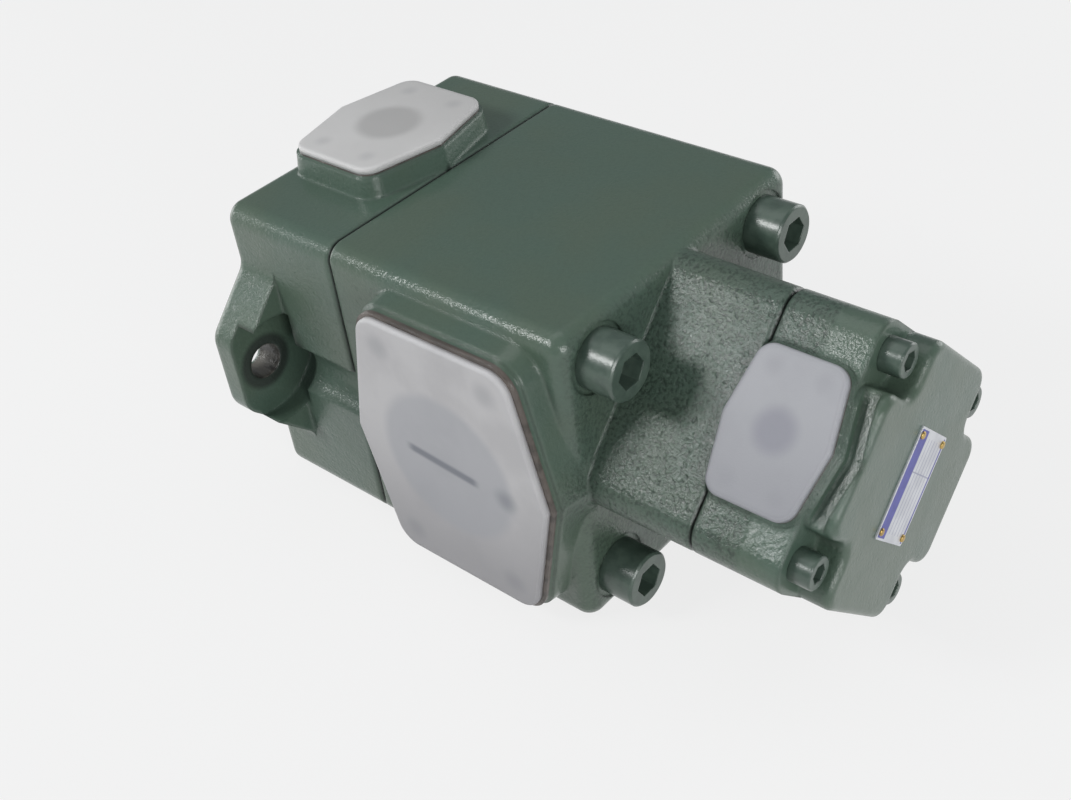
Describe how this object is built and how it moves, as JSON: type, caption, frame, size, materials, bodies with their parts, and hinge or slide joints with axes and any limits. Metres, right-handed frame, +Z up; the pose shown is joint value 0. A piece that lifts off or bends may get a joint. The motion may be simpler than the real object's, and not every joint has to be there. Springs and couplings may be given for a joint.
{
  "type": "hydraulic vane pump",
  "caption": "Tandem hydraulic vane pump with stepped cast body, two-bolt flange, keyed drive shaft, capped suction and discharge ports and slotted rotors with sliding vanes.",
  "frame": {"origin": "shaft axis at the mounting face of the flange", "axes": "+X along the shaft from the mounting face to the rear cover, +Z up through the large discharge port, -Y out of the suction port"},
  "size_m": [0.377, 0.215, 0.1725],
  "materials": {
    "casting_paint": "semi-gloss paint on rough castings",
    "screw_paint": "painted over with the castings",
    "cover_plastic": "translucent white, satin",
    "plate_print": "printed, satin",
    "rivet_brass": "dull",
    "bearing_steel": "polished",
    "cage_brass": "machined",
    "blued_steel": "black oxide",
    "seal_rubber": "matt",
    "side_plate_iron": "ground",
    "hardened_steel": "ground",
    "bush_bronze": "machined",
    "shaft_steel": "ground",
    "vane_steel": "ground"
  },
  "bodies": {
    "housing": {"front_body": "casting_paint", "middle_body": "casting_paint", "rear_body": "casting_paint", "large_body_screws": "screw_paint", "small_body_screws": "screw_paint", "suction_port_cover": "cover_plastic", "large_discharge_cover": "cover_plastic", "small_discharge_cover": "cover_plastic", "nameplate": "plate_print", "nameplate_rivets": "rivet_brass", "bearing_outer_ring": "bearing_steel", "bearing_retaining_ring": "blued_steel", "shaft_seal": "seal_rubber", "front_seam_seal": "seal_rubber", "rear_seam_seal": "seal_rubber", "large_plate_seal": "seal_rubber", "small_plate_seal": "seal_rubber", "large_front_side_plate": "side_plate_iron", "large_cam_ring": "hardened_steel", "large_rear_side_plate": "side_plate_iron", "large_cartridge_bolts": "blued_steel", "large_dowels": "hardened_steel", "small_front_side_plate": "side_plate_iron", "small_cam_ring": "hardened_steel", "small_rear_side_plate": "side_plate_iron", "small_cartridge_bolts": "blued_steel", "small_dowels": "hardened_steel", "middle_bush": "bush_bronze", "rear_bush": "bush_bronze"},
    "shaft": {"drive_shaft": "shaft_steel", "shaft_key": "shaft_steel", "bearing_inner_ring": "bearing_steel", "shaft_retaining_ring": "blued_steel", "large_rotor": "hardened_steel", "small_rotor": "hardened_steel"},
    "bearing_cage": {"bearing_cage": "cage_brass", "bearing_balls": "bearing_steel"},
    "large_vane_1": {"large_vane_1": "vane_steel"},
    "large_vane_2": {"large_vane_2": "vane_steel"},
    "large_vane_3": {"large_vane_3": "vane_steel"},
    "large_vane_4": {"large_vane_4": "vane_steel"},
    "large_vane_5": {"large_vane_5": "vane_steel"},
    "large_vane_6": {"large_vane_6": "vane_steel"},
    "large_vane_7": {"large_vane_7": "vane_steel"},
    "large_vane_8": {"large_vane_8": "vane_steel"},
    "large_vane_9": {"large_vane_9": "vane_steel"},
    "large_vane_10": {"large_vane_10": "vane_steel"},
    "large_vane_11": {"large_vane_11": "vane_steel"},
    "large_vane_12": {"large_vane_12": "vane_steel"},
    "small_vane_1": {"small_vane_1": "vane_steel"},
    "small_vane_2": {"small_vane_2": "vane_steel"},
    "small_vane_3": {"small_vane_3": "vane_steel"},
    "small_vane_4": {"small_vane_4": "vane_steel"},
    "small_vane_5": {"small_vane_5": "vane_steel"},
    "small_vane_6": {"small_vane_6": "vane_steel"},
    "small_vane_7": {"small_vane_7": "vane_steel"},
    "small_vane_8": {"small_vane_8": "vane_steel"},
    "small_vane_9": {"small_vane_9": "vane_steel"},
    "small_vane_10": {"small_vane_10": "vane_steel"}
  },
  "joints": [
    {"name": "shaft_spin", "type": "hinge", "parent": "housing", "child": "shaft", "pos_m": [0, 0, 0], "axis": [1, 0, 0], "continuous": true},
    {"name": "cage_spin", "type": "hinge", "parent": "housing", "child": "bearing_cage", "pos_m": [0.0055, 0, 0], "axis": [1, 0, 0], "continuous": true},
    {"name": "large_vane_1_slide", "type": "slide", "parent": "shaft", "child": "large_vane_1", "axis": [0, 0.9659, 0.2588], "range_m": [-0.002, 0.00032]},
    {"name": "large_vane_2_slide", "type": "slide", "parent": "shaft", "child": "large_vane_2", "axis": [0, 0.7071, 0.7071], "range_m": [-0.002, 0.00251]},
    {"name": "large_vane_3_slide", "type": "slide", "parent": "shaft", "child": "large_vane_3", "axis": [0, 0.2588, 0.9659], "range_m": [-0.002, 0.00481]},
    {"name": "large_vane_4_slide", "type": "slide", "parent": "shaft", "child": "large_vane_4", "axis": [0, -0.2588, 0.9659], "range_m": [-0.002, 0.00481]},
    {"name": "large_vane_5_slide", "type": "slide", "parent": "shaft", "child": "large_vane_5", "axis": [0, -0.7071, 0.7071], "range_m": [-0.002, 0.00251]},
    {"name": "large_vane_6_slide", "type": "slide", "parent": "shaft", "child": "large_vane_6", "axis": [0, -0.9659, 0.2588], "range_m": [-0.002, 0.00032]},
    {"name": "large_vane_7_slide", "type": "slide", "parent": "shaft", "child": "large_vane_7", "axis": [0, -0.9659, -0.2588], "range_m": [-0.002, 0.00032]},
    {"name": "large_vane_8_slide", "type": "slide", "parent": "shaft", "child": "large_vane_8", "axis": [0, -0.7071, -0.7071], "range_m": [-0.002, 0.00251]},
    {"name": "large_vane_9_slide", "type": "slide", "parent": "shaft", "child": "large_vane_9", "axis": [0, -0.2588, -0.9659], "range_m": [-0.002, 0.00481]},
    {"name": "large_vane_10_slide", "type": "slide", "parent": "shaft", "child": "large_vane_10", "axis": [0, 0.2588, -0.9659], "range_m": [-0.002, 0.00481]},
    {"name": "large_vane_11_slide", "type": "slide", "parent": "shaft", "child": "large_vane_11", "axis": [0, 0.7071, -0.7071], "range_m": [-0.002, 0.00251]},
    {"name": "large_vane_12_slide", "type": "slide", "parent": "shaft", "child": "large_vane_12", "axis": [0, 0.9659, -0.2588], "range_m": [-0.002, 0.00032]},
    {"name": "small_vane_1_slide", "type": "slide", "parent": "shaft", "child": "small_vane_1", "axis": [0, 0.9511, 0.309], "range_m": [-0.002, 0.00024]},
    {"name": "small_vane_2_slide", "type": "slide", "parent": "shaft", "child": "small_vane_2", "axis": [0, 0.5878, 0.809], "range_m": [-0.002, 0.00234]},
    {"name": "small_vane_3_slide", "type": "slide", "parent": "shaft", "child": "small_vane_3", "axis": [0, 0, 1], "range_m": [-0.002, 0.00321]},
    {"name": "small_vane_4_slide", "type": "slide", "parent": "shaft", "child": "small_vane_4", "axis": [0, -0.5878, 0.809], "range_m": [-0.002, 0.00234]},
    {"name": "small_vane_5_slide", "type": "slide", "parent": "shaft", "child": "small_vane_5", "axis": [0, -0.9511, 0.309], "range_m": [-0.002, 0.00024]},
    {"name": "small_vane_6_slide", "type": "slide", "parent": "shaft", "child": "small_vane_6", "axis": [0, -0.9511, -0.309], "range_m": [-0.002, 0.00024]},
    {"name": "small_vane_7_slide", "type": "slide", "parent": "shaft", "child": "small_vane_7", "axis": [0, -0.5878, -0.809], "range_m": [-0.002, 0.00234]},
    {"name": "small_vane_8_slide", "type": "slide", "parent": "shaft", "child": "small_vane_8", "axis": [0, 0, -1], "range_m": [-0.002, 0.00321]},
    {"name": "small_vane_9_slide", "type": "slide", "parent": "shaft", "child": "small_vane_9", "axis": [0, 0.5878, -0.809], "range_m": [-0.002, 0.00234]},
    {"name": "small_vane_10_slide", "type": "slide", "parent": "shaft", "child": "small_vane_10", "axis": [0, 0.9511, -0.309], "range_m": [-0.002, 0.00024]}
  ],
  "couplings": [
    {"joint": "cage_spin", "follows": "shaft_spin", "ratio": 0.4}
  ]
}
